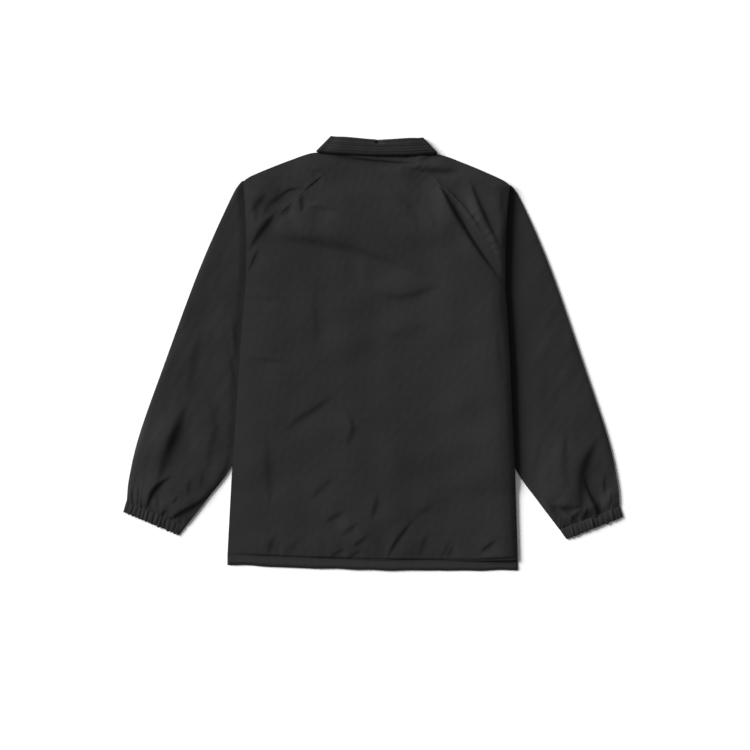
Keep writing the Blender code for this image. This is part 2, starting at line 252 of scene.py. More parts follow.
# Each crease is one row in mm: start x, y, middle x, y, end x, y, width, depth, then the lift.
backCreases = (
    # Left raglan and shoulder.
    (-92, 311, -112, 294, -130, 279, 2.0, 1.2, 0.45),
    (-123, 283, -147, 285, -170, 273, 3.0, 1.6, 0.45),
    (-90, 312, -104, 317, -118, 317, 2.6, 1.0, 0.45),
    (-132, 279, -131, 261, -128, 242, 3.6, 2.6, 0.45),
    (-126, 255, -96, 253, -63, 246, 5.0, 2.0, 0.45),
    (-145, 261, -159, 247, -173, 234, 4.0, 2.4, 0.45),
    (-168, 252, -196, 217, -225, 173, 7.5, 6.0, 0.45),
    (-202, 185, -213, 161, -225, 134, 3.2, 2.4, 0.45),
    (-151, 284, -179, 262, -203, 234, 9.0, 3.8, 0.45),
    (-188, 282, -207, 260, -222, 239, 8.0, 3.0, 0.45),
    (-217, 264, -210, 243, -210, 220, 5.0, 1.4, 0.45),
    # Right raglan and shoulder.
    (41, 325, 94, 320, 153, 320, 10.0, 8.0, 0.6),
    (97, 309, 138, 276, 184, 221, 4.8, 5.2, 0.25),
    (122, 292, 172, 231, 211, 161, 1.8, 1.2, 0.45),
    (99, 318, 149, 227, 224, 120, 7.0, 8.2, 0.17),
    (138, 248, 183, 179, 229, 113, 5.0, 3.6, 0.12),
    (104, 304, 129, 262, 161, 210, 5.0, 2.8, 0.3),
    (160, 311, 184, 252, 220, 179, 7.0, 7.2, 0.25),
    (215, 289, 219, 265, 219, 235, 4.0, 1.4, 0.45),
    (196, 291, 213, 295, 229, 298, 5.0, -1.0, 0.45),
    # Neck, under the collar.
    (-106, 351, -25, 338, 83, 331, 3.4, 4.6, 0.75),
    (62, 332, 81, 340, 104, 349, 2.6, 1.4, 0.5),
    # Middle of the back.
    (-224, 206, -54, 185, 113, 127, 15.0, 7.2, 0.5),
    (-41, 120, 37, 98, 124, 122, 9.0, 3.2, 0.3),
    (6, 301, 54, 258, 81, 204, 8.0, 1.4, 0.45),
    (82, 276, 96, 244, 107, 209, 7.0, 0.9, 0.45),
    (-111, 116, -103, 60, -102, -3, 8.0, 1.0, 0.45),
    (16, 28, 58, 39, 104, 52, 10.0, 1.2, 0.45),
    # Left side.
    (-231, 127, -214, 124, -193, 112, 3.6, 1.4, 0.45),
    (-235, 97, -208, 96, -163, 88, 4.2, 1.6, 0.45),
    (-236, 73, -215, 69, -190, 58, 3.6, 1.2, 0.45),
    (-236, 43, -218, 41, -199, 31, 3.6, 1.0, 0.45),
    (-230, -9, -197, -13, -156, -19, 3.8, 1.6, 0.45),
    # Lower back.
    (-162, -142, -120, -109, -67, -74, 6.5, 2.2, 0.45),
    (-59, -90, -36, -128, -52, -174, 5.5, 1.7, 0.45),
    (-117, -262, -91, -237, -65, -214, 6.0, 1.5, 0.45),
    (-188, -140, -184, -207, -180, -277, 9.0, 1.8, 0.45),
    (-89, -302, -70, -288, -45, -274, 5.0, 2.0, 0.45),
    (-59, -323, -41, -308, -22, -294, 5.0, 2.0, 0.45),
    (-38, -343, -22, -329, -6, -317, 4.5, 1.8, 0.45),
    (10, -240, 5, -264, -3, -296, 5.0, 2.0, 0.45),
    (22, -366, 43, -325, 76, -284, 3.0, 2.2, 0.45),
    (67, -293, 90, -274, 114, -254, 5.0, 1.0, 0.45),
    (76, -360, 87, -335, 99, -310, 5.5, 1.2, 0.45),
    (118, -361, 129, -340, 139, -319, 4.0, 1.2, 0.45),
    (129, -361, 136, -345, 143, -331, 3.2, 1.3, 0.45),
    (187, -352, 199, -337, 220, -323, 4.4, 2.4, 0.45),
    (-184, -354, -179, -338, -173, -320, 5.5, 1.5, 0.45),
    (-78, -360, -62, -349, -43, -340, 3.8, 1.4, 0.45),
    (-46, -361, -32, -352, -17, -343, 3.4, 1.3, 0.45),
    (-120, -322, -144, -343, -160, -360, 7.0, 1.0, 0.45),
    (171, -359, 223, -356, 276, -352, 3.2, 2.8, 0.45),
    # Right side.
    (209, 49, 218, -1, 226, -59, 8.0, 1.3, 0.45),
    (211, 130, 219, 95, 224, 53, 7.0, 1.3, 0.45),
)
leftSleeveCreases = (
    (-322, -86, -344, -131, -363, -188, 11.0, 3.6, 0.45),
    (-329, -107, -358, -172, -378, -237, 13.0, 6.4, 0.65),
    (-347, -215, -382, -242, -400, -288, 4.4, 4.6, 0.45),
    (-275, -248, -324, -276, -369, -303, 4.4, 4.2, 0.45),
    (-360, -273, -367, -284, -378, -293, 3.2, 2.2, 0.45),
    (-338, -252, -346, -261, -355, -270, 3.0, 1.4, 0.45),
    (-412, -230, -411, -253, -411, -276, 2.8, 1.6, 0.45),
    (-422, -234, -422, -249, -423, -267, 2.6, 1.3, 0.45),
    (-383, -249, -378, -261, -374, -275, 2.8, 1.3, 0.45),
    (-322, -217, -322, -236, -324, -259, 5.0, 1.3, 0.45),
    (-298, -196, -300, -222, -301, -248, 6.0, 1.2, 0.45),
    (-252, 73, -243, 20, -233, -36, 6.0, 1.3, 0.45),
    (-262, 27, -249, -29, -236, -83, 6.0, 1.1, 0.45),
    (-301, 44, -316, -16, -329, -89, 11.0, 1.8, 0.45),
    (-298, -57, -285, -103, -271, -148, 9.0, 1.2, 0.45),
    (-274, -122, -283, -164, -294, -218, 9.0, 1.4, 0.45),
    (-248, -171, -259, -207, -278, -237, 7.0, 1.8, 0.45),
)
rightSleeveCreases = (
    (393, -138, 365, -208, 363, -295, 14.0, 9.4, 0.4),
    (365, -210, 382, -250, 405, -297, 5.0, 6.6, 0.3),
    (305, -261, 338, -268, 371, -262, 7.0, 4.6, 0.4),
    (322, -264, 342, -278, 363, -297, 3.0, 3.0, 0.2),
    (343, -294, 356, -278, 368, -264, 5.0, 3.0, 0.45),
    (375, -264, 371, -278, 366, -292, 3.2, 1.8, 0.45),
    (381, -236, 390, -253, 399, -272, 3.2, 1.5, 0.45),
    (406, -202, 404, -227, 403, -253, 4.0, 1.8, 0.45),
    (416, -234, 415, -253, 413, -270, 3.2, 1.6, 0.45),
    (333, -138, 335, -196, 334, -254, 7.0, 1.4, 0.45),
    (264, -76, 259, -123, 251, -165, 6.0, 1.1, 0.45),
    (338, -117, 333, -161, 325, -205, 7.0, 1.0, 0.45),
    (342, 58, 351, 18, 362, -29, 10.0, 1.1, 0.45),
    (294, -247, 313, -268, 333, -287, 4.0, 1.2, 0.45),
    (295, -139, 286, -176, 276, -218, 6.0, 1.1, 0.45),
)

tuckRows = smoothLine(tuck, 90)[::-1]
outlineX = xOfY("bodySide", "foldEdge", "shoulder")
sideX = xOfY("bodySide")
frontNeckX = xOfY("frontNeck")
outlineLine = np.vstack([smoothLine(outlines["bodySide"][::-1], 40),
                         smoothLine(outlines["foldEdge"][::-1], 16),
                         smoothLine(outlines["shoulder"][::-1], 16)])
backSeam = smoothLine(outlines["backRaglan"][::-1], 60)


def tuckLift(x, y):
    # How far the tucked sleeve lifts the side of the body.
    reach = np.interp(y, tuckRows[:, 0], tuckRows[:, 1])
    lift = np.interp(y, tuckRows[:, 0], tuckRows[:, 2])
    full = jacket["leftTuck"] + (jacket["rightTuck"] - jacket["leftTuck"]) * softStep(-0.05, 0.05, x)
    return full * lift * softStep(reach - 0.200, reach + 0.010, np.abs(x))


def atClosure(x, reach=jacket["closureReach"]):
    return 1 - softStep(0.016, reach, np.abs(x))


def closureLift(x, y, plies, reach=jacket["closureReach"]):
    # The lift over the fronts' overlap, less near the hem and none at the neck.
    along = (1 - softStep(0.270, 0.310, y)) * (0.4 + 0.6 * softStep(jacket["hemSeam"], -0.300, y))
    return plies * jacket["ply"] * atClosure(x, reach) * along


def frontZ(x, y, plies=0):
    # Height of the lower ply of the body, over the collar's points and up to the raised right edge.
    wings = jacket["ply"] * softStep(0.180, 0.215, y) * (1 - softStep(0.112, 0.150, np.abs(x)))
    curl = jacket["sideLift"] * softStep(-0.150, 0.0, x - outlineX(y))
    roll = np.clip((x - outlineX(y)) / jacket["rollWidth"] + 1, 0, 1.2)
    raised = 0.90 + 0.10 * softStep(-0.30, -0.18, y) - 0.40 * softStep(-0.05, 0.08, y)
    curl = curl * raised - jacket["sideRoll"] * roll**2
    curl = curl * (1 - softStep(0.20, 0.29, y))
    return jacket["rest"] + tuckLift(x, y) + wings + closureLift(x, y, plies) + curl


# Small relief of the upper side, in metres.
relief = {
    "seamGroove": 0.0003,
    "seamWidth": 0.0016,
    "welt": 0.00015,          # seam allowance pressed to the body side
    "seamPucker": 0.00018,
    "hemGroove": 0.0034,
    "hemGrooveWidth": 0.0024,
    "hemSag": 0.0008,
    "hemSagWidth": 0.016,
    "hemPucker": 0.00007,
    "broad": 0.00035,         # slack of the cloth over a hand's width
    "fine": 0.00006,
}


def backRelief(x, y):
    z = creases(x, y + skew(x, y), backCreases)
    d, along = nearLine(np.abs(x), y, backSeam)
    along = along + np.where(x > 0, 1.0, 0.0)
    sewn = 1 - softStep(0.300, 0.330, y)
    sewn = sewn * np.where(x > 0, 1.0, 0.5)
    z -= relief["seamGroove"] * sewn * np.exp(-((d / relief["seamWidth"]) ** 2))
    z += sewn * relief["welt"] * softStep(-0.011, -0.008, d) * (1 - softStep(-0.003, 0.0, d))
    z += relief["seamPucker"] * ripples(along, 3, 0.009, 0.024) * np.exp(-np.abs(d) / 0.010)
    up = np.maximum(y - jacket["hemSeam"], 0)
    groove = relief["hemGroove"] * np.exp(-((up / relief["hemGrooveWidth"]) ** 2))
    z -= groove + relief["hemSag"] * np.exp(-((up / relief["hemSagWidth"]) ** 2))
    z += relief["hemPucker"] * ripples(x, 5, 0.008, 0.022) * np.exp(-up / 0.014)
    z += 1.3 * relief["hemPucker"] * ripples(x, 6, 0.025, 0.070) * np.exp(-up / 0.045)
    z += relief["broad"] * waves(x, y, 7, 0.06, 0.16)
    z += relief["fine"] * waves(x, y, 8, 0.012, 0.030)
    return z


def backZ(x, y, detail=1.0):
    # Height of the upper ply of the body, rounded down to the lower one along its outline.
    far = np.abs(nearLine(np.abs(x), y, outlineLine)[0])
    left = jacket["leftRound"] + (jacket["topRound"] - jacket["leftRound"]) * softStep(0.18, 0.27, y)
    width = left + (jacket["rightRound"] - left) * softStep(-0.05, 0.05, x)
    near = 1 - np.clip(far / width, 0, 1)
    plies = jacket["closurePlies"]
    low = frontZ(x, y, plies) + 0.0005
    neckFade = softStep(0.0, 0.05, jacket["neck"] - y)
    rise = jacket["ply"] + jacket["puff"] * neckFade
    rise = rise + closureLift(x, y, plies, jacket["closureSpread"]) - closureLift(x, y, plies)
    puffX, puffY = jacket["puffPlace"]
    across = (x - puffX) / np.where(x < puffX, jacket["puffInward"], jacket["puffReach"])
    along = (y - puffY) / jacket["puffReach"]
    rise = rise + jacket["shoulderPuff"] * np.exp(-(across**2) - along**2)
    least = 0.0004 + 0.0006 * softStep(jacket["hemSeam"], -0.330, y)
    drop = 1 - jacket["foldStand"] * softStep(0.12, 0.17, y) * (1 - softStep(-0.05, 0.05, x))
    return low + (1 - drop * near**2) * softFloor(rise + detail * backRelief(x, y), least)


def weaveGroup():
    # Tone, roughness and thread height of a fine plain weave.
    group = bpy.data.node_groups.new("nylonFace", "ShaderNodeTree")
    group.interface.new_socket("Tone", in_out="INPUT", socket_type="NodeSocketColor")
    group.interface.new_socket("Thread", in_out="INPUT", socket_type="NodeSocketFloat")
    group.interface.new_socket("Color", in_out="OUTPUT", socket_type="NodeSocketColor")
    group.interface.new_socket("Roughness", in_out="OUTPUT", socket_type="NodeSocketFloat")
    group.interface.new_socket("Height", in_out="OUTPUT", socket_type="NodeSocketFloat")
    nodes = group.nodes
    links = group.links
    given = nodes.new("NodeGroupInput")
    out = nodes.new("NodeGroupOutput")
    place = nodes.new("ShaderNodeTexCoord")
    patches = nodes.new("ShaderNodeTexNoise")
    patches.inputs["Scale"].default_value = 9.0
    patches.inputs["Detail"].default_value = 3.0
    links.new(place.outputs["Object"], patches.inputs["Vector"])
    tone = nodes.new("ShaderNodeMapRange")
    tone.inputs["To Min"].default_value = 0.95
    tone.inputs["To Max"].default_value = 1.05
    links.new(patches.outputs["Fac"], tone.inputs["Value"])
    shade = nodes.new("ShaderNodeVectorMath")
    shade.operation = "SCALE"
    links.new(given.outputs["Tone"], shade.inputs[0])
    links.new(tone.outputs["Result"], shade.inputs["Scale"])
    links.new(shade.outputs["Vector"], out.inputs["Color"])
    rough = nodes.new("ShaderNodeMapRange")
    rough.inputs["To Min"].default_value = 0.60
    rough.inputs["To Max"].default_value = 0.74
    links.new(patches.outputs["Fac"], rough.inputs["Value"])
    links.new(rough.outputs["Result"], out.inputs["Roughness"])
    threads = []
    for direction in ("X", "Y"):
        wave = nodes.new("ShaderNodeTexWave")
        wave.bands_direction = direction
        wave.inputs["Distortion"].default_value = 0.4
        links.new(place.outputs["Object"], wave.inputs["Vector"])
        links.new(given.outputs["Thread"], wave.inputs["Scale"])
        threads.append(wave)
    cross = nodes.new("ShaderNodeMath")
    cross.operation = "MAXIMUM"
    links.new(threads[0].outputs["Fac"], cross.inputs[0])
    links.new(threads[1].outputs["Fac"], cross.inputs[1])
    links.new(cross.outputs["Value"], out.inputs["Height"])
    return group


def clothMaterial(name, tone, thread, bump):
    material = bpy.data.materials.new(name)
    material.use_nodes = True
    nodes = material.node_tree.nodes
    links = material.node_tree.links
    shader = nodes["Principled BSDF"]
    face = nodes.new("ShaderNodeGroup")
    face.node_tree = weave
    face.inputs["Tone"].default_value = (*tone, 1)
    face.inputs["Thread"].default_value = thread
    raised = nodes.new("ShaderNodeBump")
    raised.inputs["Strength"].default_value = bump
    raised.inputs["Distance"].default_value = 0.0001
    links.new(face.outputs["Color"], shader.inputs["Base Color"])
    links.new(face.outputs["Roughness"], shader.inputs["Roughness"])
    links.new(face.outputs["Height"], raised.inputs["Height"])
    links.new(raised.outputs["Normal"], shader.inputs["Normal"])
    shader.inputs["Specular IOR Level"].default_value = 0.05
    return material


weave = weaveGroup()
nylon = clothMaterial("blackNylon", (0.0176, 0.0176, 0.0176), 700.0, 0.20)
threadCloth = clothMaterial("blackThread", (0.0150, 0.0150, 0.0155), 400.0, 0.25)
snapPaint = bpy.data.materials.new("blackSnap")
snapPaint.use_nodes = True
snapShader = snapPaint.node_tree.nodes["Principled BSDF"]
snapShader.inputs["Base Color"].default_value = (0.016, 0.016, 0.016, 1)
snapShader.inputs["Roughness"].default_value = 0.35


def addPiece(name, points, faces, material, nodes, wall=0.0):
    points = np.array(points, float).reshape(-1, 3)
    points[:, 1] += skew(points[:, 0], points[:, 1])
    mesh = bpy.data.meshes.new(name)
    mesh.from_pydata(points.tolist(), [], faces)
    mesh.polygons.foreach_set("use_smooth", [True] * len(mesh.polygons))
    mesh.materials.append(material)
    mesh.update()
    piece = bpy.data.objects.new(name, mesh)
    bpy.context.scene.collection.objects.link(piece)
    if wall:
        shell = piece.modifiers.new("wall", "SOLIDIFY")
        shell.thickness = wall
        shell.offset = 0.0
    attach(piece, "root")
    if nodes:
        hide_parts(*nodes)
    return piece


def gridFaces(rows, columns, flip, wrap=False, openFrom=None, gap=(0, 0)):
    # Quads between rows. From row openFrom on, the columns in gap carry no cloth.
    last = columns if wrap else columns - 1
    faces = []
    for r in range(rows - 1):
        for c in range(last):
            if openFrom is not None and r >= openFrom and gap[0] <= c < gap[1]:
                continue
            n = (c + 1) % columns
            quad = (r * columns + c, r * columns + n, (r + 1) * columns + n, (r + 1) * columns + c)
            faces.append(quad[::-1] if flip else quad)
    return faces


def turned(start, end, way, count, most):
    # Rows of the rounded turn from one ply to the other, bulging the given way.
    depth = np.minimum(0.65 * np.linalg.norm(end - start, axis=1), most)
    angle = np.linspace(0, math.pi, count + 2)[1:-1]
    share = (1 - np.cos(angle)) / 2
    found = start[:, None] + (end - start)[:, None] * share[None, :, None]
    found[:, :, :2] += way[:, None] * (depth[:, None] * np.sin(angle)[None])[:, :, None]
    return found


def flatWay(start, end):
    way = (end - start)[:, :2]
    return way / np.linalg.norm(way, axis=1)[:, None]


def tubePiece(name, upper, lower, side, nodes, openFrom=None, wall=0.0):
    # A flattened tube. Both plies run from the outer edge inward.
    count = 5
    wayIn = flatWay(upper[:, -2], upper[:, -1]) + flatWay(lower[:, -2], lower[:, -1])
    wayOut = flatWay(upper[:, 1], upper[:, 0]) + flatWay(lower[:, 1], lower[:, 0])
    wayIn /= np.linalg.norm(wayIn, axis=1)[:, None]
    wayOut /= np.linalg.norm(wayOut, axis=1)[:, None]
    inner = turned(upper[:, -1], lower[:, -1], wayIn, count, jacket["ply"])
    outer = turned(lower[:, 0], upper[:, 0], wayOut, count, 0.0004)
    ring = np.concatenate([upper, inner, lower[:, ::-1], outer], axis=1)
    ring[:, :, 0] *= side
    rows, columns = ring.shape[:2]
    start = upper.shape[1] - 1
    faces = gridFaces(rows, columns, side > 0, True, openFrom, (start, start + count + 1))
    return addPiece(name, ring, faces, nylon, nodes, wall)


# The rows lie closer together just above the hem and below the collar.
backPanel = {
    "rows": 380,
    "columns": 250,
    "rowShares": (0, 0.105, 0.847, 1),
    "rowPlaces": (jacket["hemSeam"], -0.3175, 0.2820, jacket["neck"]),
}


def makeBack():
    shares = np.linspace(0, 1, backPanel["rows"])
    y = np.interp(shares, backPanel["rowShares"], backPanel["rowPlaces"])
    seamX = np.interp(y, backSeam[:, 1], backSeam[:, 0])
    edge = np.where(y < backSeam[0, 1], sideX(y), seamX)
    share = -1 + 2 * dense(backPanel["columns"])
    x = edge[:, None] * share[None]
    y = np.repeat(y[:, None], len(share), axis=1)
    grid = np.stack([x, y, backZ(x, y)], axis=2)
    faces = gridFaces(*x.shape, False)
    return addPiece("backPanel", grid, faces, nylon, ["back"])


back = makeBack()
print("back made")

frontPanel = {"rows": 130, "columns": 56, "crease": 0.0006}


def makeFront(name, node, side, plies):
    # The ply on the table. Its creases are hollows that rise off the table.
    seam = smoothLine(outlines["frontRaglan"][::-1], 60)
    y = np.linspace(jacket["hemSeam"], seam[-1, 1], frontPanel["rows"])
    edge = np.where(y < seam[0, 1], sideX(y), np.interp(y, seam[:, 1], seam[:, 0]))
    neckY = outlines["frontNeck"][0][1]
    inner = np.where(y > neckY, frontNeckX(y), -jacket["overlap"])
    share = dense(frontPanel["columns"])
    x = inner[:, None] + (edge - inner)[:, None] * share[None]
    y = np.repeat(y[:, None], len(share), axis=1)
    z = frontZ(side * x, y, plies)
    inside = softStep(0.004, 0.050, edge[:, None] - x)
    inside = inside * softStep(0.0, 0.030, y - jacket["hemSeam"])
    z += frontPanel["crease"] * inside * np.clip(waves(side * x, y, 21, 0.03, 0.12), 0, 1.5)
    grid = np.stack([side * x, y, z], axis=2)
    faces = gridFaces(*x.shape, side > 0)
    return addPiece(name, grid, faces, nylon, [node], jacket["wall"])


frontLeft = makeFront("frontLeft", "front_left", -1, 1)
frontRight = makeFront("frontRight", "front_right", 1, jacket["closurePlies"])
print("fronts made")

sleeve = {
    "columns": 104,
    "underColumns": 24,
    "rows": 290,
    "topRows": 130,
    "puff": 0.0019,           # air inside the sleeve
    "blouse": 0.0042,         # more of it where the cloth hangs over the cuff
    "edgeRound": 0.0110,
    "edgeDrop": 0.4,          # share of the air that is gone at the rim
    "leftRise": 0.0150,       # how soon each sleeve rises beside the edge of the body
    "rightRise": 0.0600,
    "rim": 0.0016,            # room left for the turn at the outer edge
    "gather": 0.0014,         # short gathers at the cuff
    "longGather": 0.0014,
    "broad": 0.0003,
    "fine": 0.00008,
}


def gathers(across, up, seed):
    # They start at the cuff and fade out up the sleeve.
    short = leanRibs(-across, seed, 0.004, 0.010, 0.6) * np.exp(-up / 0.012)
    long = leanRibs(-across, seed + 1, 0.009, 0.024, 0.4) * np.exp(-up / 0.032)
    return sleeve["gather"] * short + sleeve["longGather"] * long


def sleeveZ(x, y, share, width, up, side, table):
    def rounded(far):
        return 1 - (1 - np.clip(far / sleeve["edgeRound"], 0, 1)) ** 2

    bodyRise = sleeve["leftRise"] if side < 0 else sleeve["rightRise"]
    clear = softStep(-0.004, bodyRise, x - outlineX(y)) * (y < 0.297)
    edges = rounded(share * width) * rounded((1 - share) * width)
    rise = sleeve["puff"] * (1 - sleeve["edgeDrop"] * (1 - edges))
    rise = rise * (1 - 0.7 * np.exp(-((up / 0.005) ** 2)))
    full = np.sin(math.pi * share) ** 0.7
    full = full * softStep(0.0, 0.022, up) * (1 - softStep(0.030, 0.260, up))
    rise = rise + sleeve["blouse"] * full
    detail = creases(side * x, y, table) + gathers(side * share * width, up, 31 if side < 0 else 41)
    detail += sleeve["broad"] * waves(side * x, y, 33, 0.05, 0.15)
    detail += sleeve["fine"] * waves(side * x, y, 34, 0.012, 0.030)
    return jacket["rest"] + softFloor(jacket["ply"] + clear * (rise + np.sqrt(edges) * detail), 0.0007)


def layRows(start, end, shares):
    return start[:, None] + (end - start)[:, None] * shares[None, :, None]


def makeSleeve(name, node, side, table):
    rest = jacket["rest"]
    ply = jacket["ply"]
    rows = sleeve["rows"]
    shares = dense(sleeve["columns"])
    underShares = np.linspace(0, 1, sleeve["underColumns"])
    outer = smoothLine(inset(smoothLine(outlines["sleeveOuter"], rows), sleeve["rim"]), rows)[::-1]
    inner = smoothLine(outlines["sleeveInner"], rows)[::-1]
    upper = layRows(outer, inner, shares)
    lower = layRows(outer, inner, underShares)
    width = np.linalg.norm(outer - inner, axis=1)[:, None]
    up = np.linspace(0, 0.55, rows)[:, None]
    z = sleeveZ(upper[..., 0], upper[..., 1], shares[None], width, up, side, table)
    upperRows = [np.dstack([upper, z])]
    lowerRows = [np.dstack([lower, np.full(lower.shape[:2], rest)])]

    def bowed(cut):
        return (4 * cut * (1 - cut))[None, :, None]

    def bent(start, end, way, count, upperArc, lowerArc, bow=np.zeros(2)):
        # Rows that turn both plies about one line. Each arc gives (reach, height) for a share.
        for t in np.linspace(0, 1, count):
            for store, cut, arc in ((upperRows, shares, upperArc), (lowerRows, underShares, lowerArc)):
                line = layRows(start[None], end[None], cut) + bow * bowed(cut)
                reach, height = arc(t, line)
                line = line + way * reach
                store.append(np.dstack([line, np.broadcast_to(height, line.shape[:2])]))

    def arc(reach, centre, first, last, back=0.0):
        def place(t, line):
            angle = math.radians(first + (last - first) * t)
            return reach * math.cos(angle) - back, centre + reach * math.sin(angle)
        return place

    rootLine = inner[-1] - outer[-1]
    inward = np.array([rootLine[1], -rootLine[0]]) / np.linalg.norm(rootLine)
    fold = ply * (jacket["leftTuck"] if side < 0 else jacket["rightTuck"])
    bent(outer[-1], inner[-1], inward, 6, arc(fold / 2, rest + 1.5 * fold, -54, 90),
         arc(1.5 * fold, rest + 1.5 * fold, -54, 90))

    topEdge = np.array(outlines["foldEdge"][0])
    lowEdge = np.array(outlines["foldEdge"][-1])
    reach = 1.5 * fold
    edgeLine = lowEdge - topEdge
    outward = np.array([-edgeLine[1], edgeLine[0]]) / np.linalg.norm(edgeLine)
    bow = np.array(outlines["foldEdge"][1]) - (topEdge + lowEdge) / 2

    def edgeArc(t, line):
        # From the tucked ply up to the visible edge, where the cloth stands upright.
        angle = math.radians(-90 + 90 * t)
        top = backZ(line[..., 0] * side, line[..., 1])
        low = rest + 2 * fold
        return reach * (math.cos(angle) - 1), low + (top - low) * (1 + math.sin(angle))

    bent(topEdge, lowEdge, outward, 6, edgeArc, arc(fold / 2, rest + 3.5 * fold, -90, 54, reach), bow)

    topRows = sleeve["topRows"]
    t = np.linspace(0, 1, topRows) ** 1.4
    shoulder = smoothLine(outlines["shoulder"][::-1], 400)
    seam = smoothLine(outlines["backRaglan"][::-1], 400)
    frontSeam = smoothLine(outlines["frontRaglan"][::-1], 400)

    def picked(line):
        return np.column_stack([np.interp(t, np.linspace(0, 1, len(line)), c) for c in line.T])

    shoulderRows = inset(picked(shoulder), -0.0008)
    shoulderRows[0] = topEdge
    seamRows = picked(seam)
    seamRows[0] = lowEdge
    frontRows = picked(frontSeam)
    top = layRows(shoulderRows, seamRows, shares)
    fade = (1 - t)[:, None, None] ** 2
    top += bow * bowed(shares) * fade
    under = layRows(shoulderRows, frontRows, underShares) + bow * bowed(underShares) * fade
    openFrom = sum(len(block) for block in upperRows)
    upperRows.append(np.dstack([top, backZ(top[..., 0] * side, top[..., 1])]))
    lowerRows.append(np.dstack([under, frontZ(under[..., 0] * side, under[..., 1])]))
    return tubePiece(name, np.vstack(upperRows), np.vstack(lowerRows), side, [node], openFrom)


sleeveLeft = makeSleeve("sleeveLeft", "sleeve_left", -1, leftSleeveCreases)
sleeveRight = makeSleeve("sleeveRight", "sleeve_right", 1, rightSleeveCreases)
print("sleeves made")

cuff = {
    "rows": 16,
    "columns": 150,
    "underColumns": 50,
    "rise": 0.0010,
    "leftRib": 0.0020,        # height of the gathers on each side
    "rightRib": 0.0024,
    "scallop": 0.0008,
    "rim": 0.0016,
}


def makeCuff(name, node, side):
    seed = 31 if side < 0 else 41
    share = np.linspace(0, 1, cuff["rows"])[:, None]
    tops = np.array(outlines["cuffTop"])
    bottoms = np.array(outlines["cuffBottom"])
    outer = (1 - share) * tops[0] + share * bottoms[0]
    inner = (1 - share) * tops[1] + share * bottoms[1]
    outer = outer + (inner - outer) * (cuff["rim"] / np.linalg.norm(inner - outer, axis=1))[:, None]
    cut = dense(cuff["columns"])
    upper = layRows(outer, inner, cut)
    lower = layRows(outer, inner, np.linspace(0, 1, cuff["underColumns"]))
    across = cut[None] * np.linalg.norm(outer - inner, axis=1)[:, None]
    ribs = leanRibs(-side * across, seed, 0.0045, 0.0110, 0.9)
    ribs = ribs + 0.4 * leanRibs(-side * across, seed + 2, 0.0030, 0.0070, 0.9)
    rib = cuff["leftRib"] if side < 0 else cuff["rightRib"]
    edge = np.sin(math.pi * cut)[None] ** 0.35
    crown = 0.5 + 0.5 * np.sin(math.pi * share)
    z = jacket["rest"] + jacket["ply"] + edge * crown * (cuff["rise"] + rib * ribs)
    upper[..., 1] += share * cuff["scallop"] * ripples(across, seed + 3, 0.006, 0.02)
    upper = np.dstack([upper, z])
    lower = np.dstack([lower, np.full(lower.shape[:2], jacket["rest"] + 0.0002)])
    return tubePiece(name, upper, lower, side, [node], None, jacket["wall"])


cuffLeft = makeCuff("cuffLeft", "cuff_left", -1)
cuffRight = makeCuff("cuffRight", "cuff_right", 1)
print("cuffs made")

hem = {
    "ring": 48,
    "ply": 0.0008,
    "rise": 0.0034,           # height of the rolled edge of the back hem
    "pucker": 0.00006,
    "waver": 0.0006,
    "endRound": 0.004,
}


def makeHem(name, node, left, right, count, lowZ, rise):
    # A rolled double band: one closed ring of cloth at each place along it.
    x = np.linspace(left, right, count)[:, None]
    angle = np.linspace(0, 2 * math.pi, hem["ring"], endpoint=False)[None]
    reach = (jacket["hemSeam"] - jacket["hemBottom"]) / 2
    middle = (jacket["hemSeam"] + jacket["hemBottom"]) / 2
    boxY = np.sign(np.cos(angle)) * np.abs(np.cos(angle)) ** 0.9
    boxZ = np.sign(np.sin(angle)) * np.abs(np.sin(angle)) ** 0.8
    toEnd = np.abs(right - left) / 2 - np.abs(x - (left + right) / 2)
    ends = np.sqrt(1 - (1 - np.clip(toEnd / hem["endRound"], 0, 1)) ** 2)
    puckers = ripples(x, 5, 0.008, 0.022) + 0.8 * ripples(x, 6, 0.025, 0.070)
    pucker = rise / hem["rise"] * ends * hem["pucker"] * puckers
    waver = hem["waver"] * ripples(x, 51, 0.05, 0.2)
    low = lowZ(x)
    upper = low + hem["ply"] * (0.35 + 0.65 * ends) + (rise + pucker) * ends
    # The upper side climbs from the seam and rolls down at the lower edge.
    down = (1 - boxY) / 2
    lean = 0.05 + 0.95 * down**1.3
    lean = lean * (1 - 0.9 * np.clip((down - 0.64) / 0.36, 0, 1) ** 1.3)
    half = hem["ply"] / 2
    z = low + half + np.where(boxZ > 0, (upper - low - half) * lean, half * boxZ)
    y = middle + reach * boxY + waver * (boxY < 0)
    ring = np.stack([np.broadcast_to(x, z.shape), y, z], axis=2)
    faces = gridFaces(count, hem["ring"], False, True)
    faces.append(list(range(hem["ring"]))[::-1])
    faces.append([(count - 1) * hem["ring"] + c for c in range(hem["ring"])])
    return addPiece(name, ring, faces, nylon, [node])


def backHemLow(x):
    return hem["ply"] * (1 + atClosure(x, jacket["closureSpread"]))


def leftHemLow(x):
    return 0 * x


def rightHemLow(x):
    return hem["ply"] * atClosure(x)


halfHem = outlines["bodySide"][-1][0]
overlap = jacket["overlap"]
hemBack = makeHem("hemBack", "hem_back", -halfHem, halfHem, 320, backHemLow, hem["rise"])
hemFrontLeft = makeHem("hemFrontLeft", "hem_front_left", -halfHem, overlap, 150, leftHemLow, 0.0)
hemFrontRight = makeHem("hemFrontRight", "hem_front_right", -overlap, halfHem, 150, rightHemLow, 0.0)
print("hem made")

